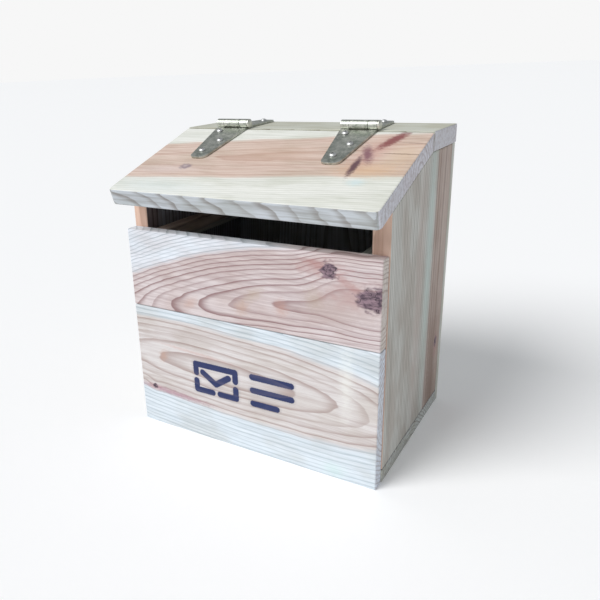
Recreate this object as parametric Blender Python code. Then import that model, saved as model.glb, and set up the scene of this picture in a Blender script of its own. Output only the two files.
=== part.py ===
"""A wall-mounted post box made of treated pine boards, with a lid on two strap hinges.

Two side panels stand on a floor board. Two front boards and a back panel close the box,
a fixed top rail covers its rear, and the lid board slopes down from the rail to the front.
The letters' slot is the open gap between the upper front board and the lid.

All sizes are metres, +X is the box's right, -Y its front and +Z is up. The pieces are
placed from the box's underside. The origin is on the back panel's rear face, which meets
the wall, ORIGIN_HEIGHT above the underside.
"""

import math

import bmesh
import bpy
from mathutils import Euler, Matrix, Vector

# Overall sizes
FRONT_LENGTH = 0.295            # the front boards, end to end
BOX_DEPTH = 0.212               # wall to the outer face of the front boards
ORIGIN_HEIGHT = 0.150           # underside to the origin on the wall face

# Boards
LOWER_FRONT_HEIGHT = 0.150
UPPER_FRONT_HEIGHT = 0.089
FRONT_THICKNESS = 0.015
SIDE_THICKNESS = 0.018
SIDE_PROUD = 0.001              # the sides stand out past the front boards' ends
FLOOR_THICKNESS = 0.015
BACK_THICKNESS = 0.009
RAIL_THICKNESS = 0.020
RAIL_MARGIN = 0.00126           # wall to the tips of the leaves on the rail
SLOT_HEIGHT = 0.0301            # upper front board's top to the lid's lower front edge
LID_OVERHANG = 0.0219           # lid's front edge past the front boards
LID_THICKNESS = 0.018
LID_SLOPE = math.radians(18.0)
LID_STEP = 0.001                # the rail's top stands above the lid's rear edge
ROOF_OVERHANG = 0.001           # lid and rail past the sides' outer faces
LID_CORNER_RADIUS = 0.005       # the lid's two front corners, seen from above
ARRIS = 0.0012                  # the rounded long edges of a planed board

# Battens inside
CLEAT_WIDTH = 0.015
CLEAT_HEIGHT = 0.020
CLEAT_DROP = 0.004              # upper front board's top to the cleats' tops
CORNER_BATTEN = 0.018           # square section
HANGING_BATTEN_DEPTH = 0.020
HANGING_BATTEN_HEIGHT = 0.034
HANG_HOLE_RADIUS = 0.00275
HANG_HOLE_INSET = 0.040         # from the hanging batten's ends

# Hinges
LEFT_HINGE_INSET = 0.0645       # lid's left end to the middle of the left hinge
RIGHT_HINGE_INSET = 0.0785      # lid's right end to the middle of the right hinge
LEAF_LENGTH = 0.082             # pin to tip
LEAF_ROOT_WIDTH = 0.040
LEAF_TIP_WIDTH = 0.021
LEAF_TIP_RADIUS = 0.007
LEAF_THICKNESS = 0.002
KNUCKLE_RADIUS = 0.005
MIDDLE_KNUCKLE = 0.020          # length of the rail leaf's knuckle
PIN_RADIUS = 0.0027
PIN_HEAD_LENGTH = 0.0025
LEAF_HOLES = ((0.015, -0.0105), (0.040, 0.0050), (0.066, -0.0025))  # from the pin, across

# Screws: head radius, head depth, shank radius
ROUND_HEAD = (0.0037, 0.0023, 0.0017)
FLAT_HEAD = (0.0038, 0.0026, 0.0019)
HINGE_SCREW_LENGTH = 0.0145
FLOOR_SCREW_LENGTH = 0.040
BACK_SCREW_LENGTH = 0.025
CLEAT_SCREW_LENGTH = 0.025
BATTEN_SCREW_LENGTH = 0.028
RAIL_SCREW_LENGTH = 0.045
HEAD_SINK = 0.0003              # a flat head lies this far below the wood's face
SCREW_INSET = 0.035             # from a board's end to its first screw
RECESS_SPAN = 0.0042            # cross recess, tip to tip
RECESS_WIDTH = 0.0010
RECESS_DEPTH = 0.0012

# Clearances
FIT = 0.0003                    # between pieces that touch
BOARD_GAP = 0.0006              # between the two front boards
JOINT_GAP = 0.0015              # between the rail and the lid
LID_REST_GAP = 0.0010           # between the lid and the sides' sloping edges
PIN_CLEARANCE = 0.0002
KNUCKLE_GAP = 0.0004

# Lines that several pieces share, measured from the underside and from the wall
SIDE_X = FRONT_LENGTH / 2 + SIDE_PROUD
INNER_X = SIDE_X - SIDE_THICKNESS
ROOF_X = SIDE_X + ROOF_OVERHANG
FRONT_Y = -BOX_DEPTH
INNER_FRONT_Y = FRONT_Y + FRONT_THICKNESS
INNER_BACK_Y = -BACK_THICKNESS
UPPER_FRONT_BOTTOM = LOWER_FRONT_HEIGHT + BOARD_GAP
UPPER_FRONT_TOP = UPPER_FRONT_BOTTOM + UPPER_FRONT_HEIGHT

# The pin's axis: a knuckle lies against the rail's top and the lid's top at once
KNUCKLE_SEAT = KNUCKLE_RADIUS + FIT
PIN_Y = -RAIL_MARGIN - LEAF_LENGTH
LID_REAR_Y = PIN_Y - (
    (KNUCKLE_SEAT + LID_STEP) * math.cos(LID_SLOPE) - KNUCKLE_SEAT
) / math.sin(LID_SLOPE)
RAIL_FRONT_Y = LID_REAR_Y + JOINT_GAP

# The lid's top face, from its rear edge down to its front edge
LID_FRONT_TOP_Y = FRONT_Y - LID_OVERHANG
LID_FALL = (LID_REAR_Y - LID_FRONT_TOP_Y) * math.tan(LID_SLOPE)
LID_WIDTH = (LID_REAR_Y - LID_FRONT_TOP_Y) / math.cos(LID_SLOPE)
LID_REAR_TOP = UPPER_FRONT_TOP + SLOT_HEIGHT + LID_THICKNESS * math.cos(LID_SLOPE) + LID_FALL
BOX_HEIGHT = LID_REAR_TOP + LID_STEP
PIN_Z = BOX_HEIGHT + KNUCKLE_SEAT

RAIL_UNDERSIDE = BOX_HEIGHT - RAIL_THICKNESS
CLEAT_TOP = UPPER_FRONT_TOP - CLEAT_DROP
CLEAT_BOTTOM = CLEAT_TOP - CLEAT_HEIGHT
HANGING_BATTEN_TOP = RAIL_UNDERSIDE - FIT
HANGING_BATTEN_BOTTOM = HANGING_BATTEN_TOP - HANGING_BATTEN_HEIGHT
HANGING_BATTEN_Y = INNER_BACK_Y - FIT - HANGING_BATTEN_DEPTH / 2
HANG_HOLE_X = INNER_X - FIT - HANG_HOLE_INSET
HINGE_X = {
    "left": -ROOF_X + LEFT_HINGE_INSET,
    "right": ROOF_X - RIGHT_HINGE_INSET,
}

SIDES = (("left", -1), ("right", 1))
ROUND_HEAD_SIDES = 14
FLAT_HEAD_SIDES = 10
HOLE_SIDES = 12
KNUCKLE_SIDES = 24


# ---------------------------------------------------------------- materials

def material(name, colour, roughness, metallic=0.0):
    """A Principled material in the piece's own colour (linear RGB)."""
    made = bpy.data.materials.new(name)
    made.use_nodes = True
    shader = made.node_tree.nodes["Principled BSDF"]
    shader.inputs["Base Color"].default_value = (*colour, 1.0)
    shader.inputs["Roughness"].default_value = roughness
    shader.inputs["Metallic"].default_value = metallic
    made.diffuse_color = (*colour, 1.0)
    return made


def pine(name, colour):
    return material(name, colour, roughness=0.62)


def zinc_steel(name, colour, roughness):
    return material(name, colour, roughness, metallic=1.0)


# ---------------------------------------------------------------- modelling helpers

def clear_scene():
    for item in list(bpy.data.objects):
        bpy.data.objects.remove(item)


def empty(name, location, parent=None):
    made = bpy.data.objects.new(name, None)
    made.location = location
    made.parent = parent
    bpy.context.collection.objects.link(made)
    return made


def add_object(name, shape, finish, parent, location=(0, 0, 0), rotation=(0, 0, 0)):
    """Turn a bmesh into an object with one material, under its parent empty."""
    bmesh.ops.recalc_face_normals(shape, faces=shape.faces)
    mesh = bpy.data.meshes.new(name)
    shape.to_mesh(mesh)
    shape.free()
    if finish:
        mesh.materials.append(finish)
    made = bpy.data.objects.new(name, mesh)
    made.parent = parent
    made.location = location
    made.rotation_euler = Euler(rotation)
    bpy.context.collection.objects.link(made)
    return made


def add_tool(name, shape, parent, location=(0, 0, 0), rotation=(0, 0, 0)):
    """A hidden body that other pieces are cut by or joined to."""
    made = add_object(name, shape, None, parent, location, rotation)
    made.hide_render = True
    made.display_type = "WIRE"
    return made


def boolean(piece, tool, operation):
    step = piece.modifiers.new(tool.name, "BOOLEAN")
    step.operation = operation
    step.solver = "EXACT"
    step.object = tool


def ease_edges(piece, width=ARRIS, segments=2):
    """Round the sharp edges as a plane and a rub with sandpaper do."""
    step = piece.modifiers.new("eased_edges", "BEVEL")
    step.width = width
    step.segments = segments
    step.limit_method = "ANGLE"
    step.angle_limit = math.radians(40)


def shade_round(piece, angle=35):
    piece.data.shade_smooth()
    piece.data.set_sharp_from_angle(angle=math.radians(angle))


def block(low, high):
    """A box between two corners."""
    shape = bmesh.new()
    low = Vector(low)
    high = Vector(high)
    place = Matrix.Translation((low + high) / 2) @ Matrix.Diagonal((*(high - low), 1))
    bmesh.ops.create_cube(shape, size=1.0, matrix=place)
    return shape


def prism(outline, low, high, normal="X"):
    """Extrude a flat outline: (y, z) points along X, or (x, y) points along Z."""
    shape = bmesh.new()
    if normal == "X":
        corners = [shape.verts.new((low, y, z)) for y, z in outline]
        travel = Vector((high - low, 0, 0))
    else:
        corners = [shape.verts.new((x, y, low)) for x, y in outline]
        travel = Vector((0, 0, high - low))
    face = shape.faces.new(corners)
    grown = bmesh.ops.extrude_face_region(shape, geom=[face])
    moved = [item for item in grown["geom"] if isinstance(item, bmesh.types.BMVert)]
    bmesh.ops.translate(shape, verts=moved, vec=travel)
    return shape


def turned_rings(shape, profile, place, sides):
    """Add the bands of a turned body from (radius, distance along the axis) points."""
    rings = []
    for radius, along in profile:
        ring = []
        for index in range(sides):
            angle = 2 * math.pi * (index + 0.5) / sides
            point = Vector((radius * math.cos(angle), radius * math.sin(angle), along))
            ring.append(shape.verts.new(place @ point))
        rings.append(ring)
    for first, second in zip(rings, rings[1:]):
        close_band(shape, first, second)
    return rings


def close_band(shape, first, second):
    """Join two rings of as many corners with a band of four-sided faces."""
    count = len(first)
    for index in range(count):
        after = (index + 1) % count
        shape.faces.new((first[index], first[after], second[after], second[index]))


def turn(shape, profile, place, sides):
    """Add a turned body with flat ends."""
    rings = turned_rings(shape, profile, place, sides)
    shape.faces.new(rings[0])
    shape.faces.new(rings[-1])


def aim(point, direction):
    """A frame at a point with its Z axis along a direction."""
    turned = Vector(direction).to_track_quat("Z", "Y").to_matrix().to_4x4()
    return Matrix.Translation(point) @ turned


def along_x(start):
    return aim((start, 0, 0), (1, 0, 0))


# ---------------------------------------------------------------- screws

def shank_profile(radius, length, start):
    """A straight shank with a short point, as (radius, depth) places."""
    taper = 2 * radius
    return [(radius, start), (radius, length - taper), (radius * 0.3, length)]


def round_head_profile(length):
    """A low domed head above zero and a pointed shank below it."""
    radius, height, shank = ROUND_HEAD
    dome = [(0.68, 1.0), (0.88, 0.80), (0.98, 0.45), (1.0, 0.0)]
    points = [(radius * share, -height * rise) for share, rise in dome]
    return points + shank_profile(shank, length, 0.0)


def flat_head_profile(length):
    """A countersunk head from its flat top at zero down to the point."""
    radius, depth, shank = FLAT_HEAD
    return [(radius, 0.0)] + shank_profile(shank, length, depth)


def round_head_hole(length):
    """A plain hole that starts just under the head."""
    wide = ROUND_HEAD[2] + FIT
    return [(wide, -FIT / 2), (wide, length + FIT)]


def flat_head_hole(length):
    """A countersunk hole that opens past the wood's face."""
    radius, depth, shank = FLAT_HEAD
    rim = radius + FIT
    wide = shank + FIT
    return [(rim, -2 * HEAD_SINK), (rim, 0.0), (wide, depth), (wide, length + FIT)]


def cross_outline():
    """The twelve corners of a cross recess, in order of their angles."""
    arm = RECESS_SPAN / 2
    half = RECESS_WIDTH / 2
    outline = []
    for step in range(4):
        turned = Matrix.Rotation(step * math.pi / 2, 2)
        outline += [turned @ Vector(point) for point in ((arm, -half), (arm, half), (half, half))]
    return outline


def angle_of(corner):
    return math.atan2(corner.co.y, corner.co.x) % (2 * math.pi)


def join_round(shape, outer, inner):
    """Fill between two loops round one axis by walking both in order of angle."""
    outer = sorted(outer, key=angle_of)
    inner = sorted(inner, key=angle_of)
    out_step = 0
    in_step = 0
    while out_step < len(outer) or in_step < len(inner):
        out_now = outer[out_step % len(outer)]
        in_now = inner[in_step % len(inner)]
        out_turn = angle_of(out_now) + 2 * math.pi * (out_step // len(outer))
        in_turn = angle_of(in_now) + 2 * math.pi * (in_step // len(inner))
        if in_step == len(inner) or (out_step < len(outer) and out_turn < in_turn):
            shape.faces.new((out_now, outer[(out_step + 1) % len(outer)], in_now))
            out_step += 1
        else:
            shape.faces.new((out_now, inner[(in_step + 1) % len(inner)], in_now))
            in_step += 1


def screw_mesh(name, profile, sides, finish):
    """A turned screw with a cross recess, head at the origin and shank along +Z."""
    shape = bmesh.new()
    rings = turned_rings(shape, profile, Matrix.Identity(4), sides)
    shape.faces.new(rings[-1])
    top = profile[0][1]
    outline = cross_outline()
    rim = [shape.verts.new((x, y, top)) for x, y in outline]
    base = [shape.verts.new((x, y, top + RECESS_DEPTH)) for x, y in outline]
    join_round(shape, rings[0], rim)
    close_band(shape, rim, base)
    shape.faces.new(base)
    bmesh.ops.recalc_face_normals(shape, faces=shape.faces)
    mesh = bpy.data.meshes.new(name)
    shape.to_mesh(mesh)
    shape.free()
    mesh.materials.append(finish)
    mesh.shade_smooth()
    mesh.set_sharp_from_angle(angle=math.radians(35))
    return mesh


def place_screws(name, mesh, places, parent, pose):
    """One object for each screw. A place is the seat of its head and its direction."""
    for number, (seat, way) in enumerate(places, start=1):
        screw = bpy.data.objects.new(name + "_" + str(number), mesh)
        screw.parent = parent
        screw.matrix_local = pose @ aim(seat, way)
        bpy.context.collection.objects.link(screw)


def drill_tool(name, profile, places, sides, parent, pose):
    """The tool that drills the holes for a group of screws."""
    shape = bmesh.new()
    for seat, way in places:
        turn(shape, profile, pose @ aim(seat, way), sides)
    return add_tool(name + "_drill", shape, parent)


def drive(name, places, length, boards, finish, box):
    """Add flat-head screws and drill every board that they pass through.

    A place is a point on the wood's face and the direction in which the screw went in.
    """
    seats = [(Vector(point) + Vector(way) * HEAD_SINK, way) for point, way in places]
    mesh = screw_mesh(name, flat_head_profile(length), FLAT_HEAD_SIDES, finish)
    place_screws(name, mesh, seats, box, Matrix.Identity(4))
    hole = flat_head_hole(length)
    drill = drill_tool(name, hole, seats, FLAT_HEAD_SIDES, box, Matrix.Identity(4))
    for board in boards:
        boolean(board, drill, "DIFFERENCE")


def spread(low, high, count):
    """Evenly spaced places from low to high."""
    return [low + (high - low) * index / (count - 1) for index in range(count)]


# ---------------------------------------------------------------- boards

def side_panels(box, finish):
    """Upright boards whose tops are level under the rail and slope under the lid."""
    drop = LID_THICKNESS / math.cos(LID_SLOPE) + LID_REST_GAP / math.cos(LID_SLOPE)
    fall = math.tan(LID_SLOPE)
    level = RAIL_UNDERSIDE - FIT
    front = INNER_FRONT_Y + FIT
    back = INNER_BACK_Y - FIT
    shoulder = LID_REAR_Y + (level - LID_REAR_TOP + drop) / fall
    front_top = LID_REAR_TOP - drop + (front - LID_REAR_Y) * fall
    bottom = FLOOR_THICKNESS + FIT
    outline = [(front, bottom), (back, bottom), (back, level), (shoulder, level), (front, front_top)]
    panels = []
    for side, sign in SIDES:
        shape = prism(outline, sign * INNER_X, sign * SIDE_X)
        panel = add_object(side + "_side_panel", shape, finish, box)
        ease_edges(panel)
        panels.append(panel)
    return panels


def front_board(name, bottom, height, finish, box):
    low = (-FRONT_LENGTH / 2, FRONT_Y, bottom)
    high = (FRONT_LENGTH / 2, INNER_FRONT_Y, bottom + height)
    board = add_object(name, block(low, high), finish, box)
    ease_edges(board)
    return board


def floor_board(box, finish):
    low = (-SIDE_X, INNER_FRONT_Y + FIT, 0)
    high = (SIDE_X, INNER_BACK_Y - FIT, FLOOR_THICKNESS)
    board = add_object("floor_board", block(low, high), finish, box)
    ease_edges(board)
    return board


def back_panel(box, finish):
    low = (-SIDE_X, INNER_BACK_Y, 0)
    high = (SIDE_X, 0, RAIL_UNDERSIDE - FIT)
    board = add_object("back_panel", block(low, high), finish, box)
    ease_edges(board, ARRIS / 3, 1)
    return board


def top_rail(box, finish):
    low = (-ROOF_X, RAIL_FRONT_Y, RAIL_UNDERSIDE)
    high = (ROOF_X, 0, BOX_HEIGHT)
    board = add_object("top_rail", block(low, high), finish, box)
    ease_edges(board)
    return board


def lid_board(pivot, finish):
    """A board whose rear edge is cut upright to meet the rail, with rounded front corners."""
    down = Vector((-math.cos(LID_SLOPE), -math.sin(LID_SLOPE)))
    inward = Vector((math.sin(LID_SLOPE), -math.cos(LID_SLOPE)))
    rear_top = Vector((LID_REAR_Y, LID_REAR_TOP))
    rear_bottom = rear_top - Vector((0, LID_THICKNESS / math.cos(LID_SLOPE)))
    front_top = rear_top + down * LID_WIDTH
    front_bottom = front_top + inward * LID_THICKNESS
    shape = prism([rear_top, rear_bottom, front_bottom, front_top], -ROOF_X, ROOF_X)
    middle = Vector((0, *((front_top + front_bottom) / 2)))
    corners = []
    for edge in shape.edges:
        centre = (edge.verts[0].co + edge.verts[1].co) / 2
        if abs(centre.x) > ROOF_X / 2 and (centre - middle).yz.length < FIT:
            corners.append(edge)
    bmesh.ops.bevel(
        shape, geom=corners, offset=LID_CORNER_RADIUS, offset_type="OFFSET",
        segments=4, profile=0.5, affect="EDGES",
    )
    board = add_object("lid_board", shape, finish, pivot, location=-pivot.location)
    ease_edges(board)
    return board


def side_cleats(box, finish):
    """Battens along the tops of the sides' inner faces, from the front to the back."""
    cleats = []
    for side, sign in SIDES:
        wall = sign * (INNER_X - FIT)
        edge = wall - sign * CLEAT_WIDTH
        low = (min(wall, edge), INNER_FRONT_Y + FIT, CLEAT_BOTTOM)
        high = (max(wall, edge), INNER_BACK_Y - FIT, CLEAT_TOP)
        cleat = add_object(side + "_side_cleat", block(low, high), finish, box)
        ease_edges(cleat, segments=1)
        cleats.append(cleat)
    return cleats


def corner_battens(box, finish):
    """Upright battens in the front corners, which hold the front boards from inside."""
    battens = []
    for side, sign in SIDES:
        wall = sign * (INNER_X - FIT)
        edge = wall - sign * CORNER_BATTEN
        front = INNER_FRONT_Y + FIT
        low = (min(wall, edge), front, FLOOR_THICKNESS + FIT)
        high = (max(wall, edge), front + CORNER_BATTEN, CLEAT_BOTTOM - FIT)
        batten = add_object(side + "_corner_batten", block(low, high), finish, box)
        ease_edges(batten, segments=1)
        battens.append(batten)
    return battens


def hanging_batten(box, finish):
    """The batten under the rail that takes the two wall screws."""
    half_length = INNER_X - FIT
    half_depth = HANGING_BATTEN_DEPTH / 2
    low = (-half_length, HANGING_BATTEN_Y - half_depth, HANGING_BATTEN_BOTTOM)
    high = (half_length, HANGING_BATTEN_Y + half_depth, HANGING_BATTEN_TOP)
    batten = add_object("hanging_batten", block(low, high), finish, box)
    ease_edges(batten, segments=1)
    return batten


def hang_holes(box):
    """The drill for the wall screws, from the front of the batten through the back."""
    shape = bmesh.new()
    height = (HANGING_BATTEN_TOP + HANGING_BATTEN_BOTTOM) / 2
    reach = BACK_THICKNESS + HANGING_BATTEN_DEPTH + 4 * FIT
    for x in (-HANG_HOLE_X, HANG_HOLE_X):
        profile = [(HANG_HOLE_RADIUS, -2 * FIT), (HANG_HOLE_RADIUS, reach)]
        turn(shape, profile, aim((x, 0, height), (0, -1, 0)), HOLE_SIDES)
    return add_tool("hang_hole_drill", shape, box)


# ---------------------------------------------------------------- hinges

def leaf_outline():
    """A strap that narrows from the knuckles to a tip with rounded corners."""
    root = LEAF_ROOT_WIDTH / 2
    tip = LEAF_TIP_WIDTH / 2
    centre_x = tip - LEAF_TIP_RADIUS
    centre_y = -(LEAF_LENGTH - LEAF_TIP_RADIUS)
    right = [(root, 0.0)]
    for angle in spread(0, math.pi / 2, 5):
        x = centre_x + LEAF_TIP_RADIUS * math.cos(angle)
        y = centre_y - LEAF_TIP_RADIUS * math.sin(angle)
        right.append((x, y))
    left = [(-x, y) for x, y in reversed(right)]
    return right + left


def knuckle_spans(middle):
    """The stretches of the pin that a leaf's own knuckles take."""
    half = MIDDLE_KNUCKLE / 2
    end = LEAF_ROOT_WIDTH / 2
    if middle:
        return [(-half, half)]
    return [(-end, -half - KNUCKLE_GAP), (half + KNUCKLE_GAP, end)]


def barrels(spans, radius, reach=0.0):
    shape = bmesh.new()
    for start, stop in spans:
        profile = [(radius, -reach), (radius, stop - start + reach)]
        turn(shape, profile, along_x(start), KNUCKLE_SIDES)
    return shape


def hinge_leaf(name, middle, finish, pose):
    """A flat strap whose end is rolled round the pin.

    The leaf is modelled round the pin's axis with the strap along -Y, its underside one
    knuckle radius below the axis.
    """
    strap = prism(leaf_outline(), -KNUCKLE_RADIUS, -KNUCKLE_RADIUS + LEAF_THICKNESS, "Z")
    leaf = add_object(name, strap, finish, **pose)
    ease_edges(leaf, LEAF_THICKNESS / 8, 1)
    own = knuckle_spans(middle)
    others = knuckle_spans(not middle)
    end = LEAF_ROOT_WIDTH / 2
    notch = barrels(others, KNUCKLE_RADIUS + KNUCKLE_GAP, KNUCKLE_GAP)
    boolean(leaf, add_tool(name + "_notch", notch, **pose), "DIFFERENCE")
    boolean(leaf, add_tool(name + "_knuckles", barrels(own, KNUCKLE_RADIUS), **pose), "UNION")
    bore = barrels([(-end, end)], PIN_RADIUS + PIN_CLEARANCE, 2 * KNUCKLE_GAP)
    boolean(leaf, add_tool(name + "_bore", bore, **pose), "DIFFERENCE")
    shade_round(leaf)
    return leaf


def hinge_pin(name, finish, box, location):
    """A plain pin with a flat head at the hinge's right end."""
    end = LEAF_ROOT_WIDTH / 2
    neck = end + FIT
    head = neck + PIN_HEAD_LENGTH
    chamfer = PIN_RADIUS / 5
    profile = [
        (PIN_RADIUS - chamfer, -end),
        (PIN_RADIUS, -end + chamfer),
        (PIN_RADIUS, neck),
        (KNUCKLE_RADIUS, neck),
        (KNUCKLE_RADIUS, head - chamfer),
        (KNUCKLE_RADIUS - chamfer, head),
    ]
    shape = bmesh.new()
    turn(shape, profile, along_x(0), KNUCKLE_SIDES)
    shade_round(add_object(name, shape, finish, box, location))


def leaf_screw_places():
    top = -KNUCKLE_RADIUS + LEAF_THICKNESS + FIT
    return [((across, -along, top), (0, 0, -1)) for along, across in LEAF_HOLES]


def hinge(side, box, pivot, lid, rail, steel, screw):
    """One strap hinge: a leaf on the lid, a leaf on the rail, and the pin."""
    x = HINGE_X[side]
    on_lid = {"parent": pivot, "location": (x, 0, 0), "rotation": (LID_SLOPE, 0, 0)}
    on_rail = {"parent": box, "location": (x, PIN_Y, PIN_Z), "rotation": (0, 0, math.pi)}
    hole = round_head_hole(HINGE_SCREW_LENGTH)
    places = leaf_screw_places()
    for board, pose, label, middle in ((lid, on_lid, "lid", False), (rail, on_rail, "rail", True)):
        leaf = hinge_leaf(side + "_hinge_" + label + "_leaf", middle, steel, pose)
        turned = Euler(pose["rotation"])
        frame = Matrix.LocRotScale(pose["location"], turned, None)
        name = side + "_" + label + "_leaf_screw"
        place_screws(name, screw, places, pose["parent"], frame)
        drill = drill_tool(name, hole, places, HOLE_SIDES, pose["parent"], frame)
        boolean(leaf, drill, "DIFFERENCE")
        boolean(board, drill, "DIFFERENCE")
    hinge_pin(side + "_hinge_pin", steel, box, (x, PIN_Y, PIN_Z))


# ---------------------------------------------------------------- the boards' screws

def floor_screw_places():
    x = (SIDE_X + INNER_X) / 2
    rows = (INNER_FRONT_Y + SCREW_INSET, INNER_BACK_Y - SCREW_INSET)
    return [((side, y, 0), (0, 0, 1)) for side in (-x, x) for y in rows]


def back_screw_places():
    """Three screws into each side panel and two into the hanging batten."""
    x = (SIDE_X + INNER_X) / 2
    rows = spread(FLOOR_THICKNESS + SCREW_INSET, RAIL_UNDERSIDE - SCREW_INSET, 3)
    places = [(side, z) for side in (-x, x) for z in rows]
    inner = HANG_HOLE_X / 2
    batten_z = (HANGING_BATTEN_TOP + HANGING_BATTEN_BOTTOM) / 2
    places += [(side, batten_z) for side in (-inner, inner)]
    return [((side, 0, z), (0, -1, 0)) for side, z in places]


def rail_screw_places():
    x = INNER_X - FIT - HANG_HOLE_INSET / 2
    return [((side, HANGING_BATTEN_Y, HANGING_BATTEN_BOTTOM), (0, 0, 1)) for side in (-x, x)]


def cleat_screw_places():
    height = CLEAT_TOP - CLEAT_HEIGHT / 2
    rows = (INNER_FRONT_Y + SCREW_INSET, INNER_BACK_Y - SCREW_INSET)
    face = INNER_X - FIT - CLEAT_WIDTH
    return [((sign * face, y, height), (sign, 0, 0)) for sign in (-1, 1) for y in rows]


def front_screw_places():
    """Two screws through each corner batten into each front board."""
    x = INNER_X - FIT - CORNER_BATTEN / 2
    y = INNER_FRONT_Y + FIT + CORNER_BATTEN
    inset = SCREW_INSET / 2
    lower = (FLOOR_THICKNESS + inset, LOWER_FRONT_HEIGHT - inset)
    upper = (UPPER_FRONT_BOTTOM + inset, CLEAT_BOTTOM - inset)
    return [((side, y, z), (0, -1, 0)) for side in (-x, x) for z in lower + upper]


def corner_screw_places():
    """One screw through each corner batten into its side panel."""
    face = INNER_X - FIT - CORNER_BATTEN
    y = INNER_FRONT_Y + FIT + CORNER_BATTEN / 2
    height = (FLOOR_THICKNESS + LOWER_FRONT_HEIGHT) / 2
    return [((sign * face, y, height), (sign, 0, 0)) for sign in (-1, 1)]


def main():
    clear_scene()
    box = empty("underside", (0, 0, -ORIGIN_HEIGHT))
    pivot = empty("lid_pivot", (0, PIN_Y, PIN_Z), box)

    lid = lid_board(pivot, pine("lid_pine", (0.60, 0.45, 0.32)))
    rail = top_rail(box, pine("rail_pine", (0.50, 0.47, 0.36)))
    front_pine = pine("front_pine", (0.62, 0.44, 0.34))
    lower = front_board("lower_front_board", 0, LOWER_FRONT_HEIGHT, front_pine, box)
    upper = front_board(
        "upper_front_board", UPPER_FRONT_BOTTOM, UPPER_FRONT_HEIGHT,
        pine("upper_front_pine", (0.58, 0.38, 0.31)), box,
    )
    sides = side_panels(box, pine("side_pine", (0.33, 0.30, 0.24)))
    floor = floor_board(box, pine("floor_pine", (0.55, 0.48, 0.38)))
    back = back_panel(box, pine("back_pine", (0.58, 0.50, 0.40)))
    batten_pine = pine("batten_pine", (0.56, 0.44, 0.31))
    cleats = side_cleats(box, batten_pine)
    battens = corner_battens(box, batten_pine)
    hanging = hanging_batten(box, batten_pine)

    steel = zinc_steel("hinge_zinc", (0.42, 0.43, 0.40), 0.42)
    screws = zinc_steel("screw_zinc", (0.62, 0.61, 0.58), 0.30)
    round_head = round_head_profile(HINGE_SCREW_LENGTH)
    leaf_screw = screw_mesh("leaf_screw", round_head, ROUND_HEAD_SIDES, screws)
    for side in ("left", "right"):
        hinge(side, box, pivot, lid, rail, steel, leaf_screw)

    drive("floor_screw", floor_screw_places(), FLOOR_SCREW_LENGTH, [floor, *sides], screws, box)
    drive("back_screw", back_screw_places(), BACK_SCREW_LENGTH, [back, hanging, *sides], screws, box)
    drive("rail_screw", rail_screw_places(), RAIL_SCREW_LENGTH, [hanging, rail], screws, box)
    drive("cleat_screw", cleat_screw_places(), CLEAT_SCREW_LENGTH, [*cleats, *sides], screws, box)
    drive("front_board_screw", front_screw_places(), BATTEN_SCREW_LENGTH,
          [*battens, lower, upper], screws, box)
    drive("corner_screw", corner_screw_places(), BATTEN_SCREW_LENGTH,
          [*battens, *sides], screws, box)
    wall_drill = hang_holes(box)
    boolean(back, wall_drill, "DIFFERENCE")
    boolean(hanging, wall_drill, "DIFFERENCE")


main()
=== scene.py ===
# %% [markdown]
# # A wall-mounted post box of treated pine
# This lesson dresses a finished CAD model of a small wooden post box. The boards' shapes
# come from the frame and aren't touched. What we add is what the eye reads as real: wood
# that grew round a pith and was sawn through, zinc-plated hinges rolled from strip, screws
# with a cross in their heads, a stencilled mark, and the light to see them by.

import math

import bmesh
import bpy
from mathutils import Euler, Matrix, Vector


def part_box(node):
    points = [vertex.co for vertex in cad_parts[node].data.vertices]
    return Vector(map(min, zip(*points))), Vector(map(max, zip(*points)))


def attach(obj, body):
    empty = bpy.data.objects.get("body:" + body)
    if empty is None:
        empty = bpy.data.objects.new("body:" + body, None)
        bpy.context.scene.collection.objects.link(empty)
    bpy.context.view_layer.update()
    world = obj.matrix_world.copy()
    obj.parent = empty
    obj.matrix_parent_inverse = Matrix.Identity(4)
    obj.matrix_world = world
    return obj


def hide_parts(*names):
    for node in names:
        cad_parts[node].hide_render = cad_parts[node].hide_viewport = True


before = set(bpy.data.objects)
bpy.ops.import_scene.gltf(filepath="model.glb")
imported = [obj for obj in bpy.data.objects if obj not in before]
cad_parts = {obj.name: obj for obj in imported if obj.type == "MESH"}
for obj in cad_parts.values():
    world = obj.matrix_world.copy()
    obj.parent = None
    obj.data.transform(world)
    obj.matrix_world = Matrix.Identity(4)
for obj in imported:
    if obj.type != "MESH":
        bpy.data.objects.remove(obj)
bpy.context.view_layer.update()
scene = bpy.context.scene
print("nodes in the frame:", len(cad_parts))

# %% [markdown]
# Colours are written as sRGB hex, as a paint chart gives them, but shaders add up light
# and need linear values. One function does the conversion for the whole script.

# %% Colour helper


def colour(code):
    """Turn an sRGB hex colour such as #d8c8b8 into linear RGBA, by the standard's curve."""
    channels = [int(code[start:start + 2], 16) / 255 for start in (1, 3, 5)]
    linear = [c / 12.92 if c <= 0.04045 else ((c + 0.055) / 1.055) ** 2.4 for c in channels]
    return (*linear, 1.0)


print("mid grey in linear light:", round(colour("#808080")[0], 3))

# %% [markdown]
# A material is a small network. Wiring each node by hand takes many lines, so one
# function adds any node, sets its options, fills or links its inputs, and hands back the
# output that the next node needs. Two sets of options recur: SMOOTH, for a MapRange that
# turns a value into a smooth step, and LAYER, for a Mix that lays colour 7 over colour 6.

# %% Node helper


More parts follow.
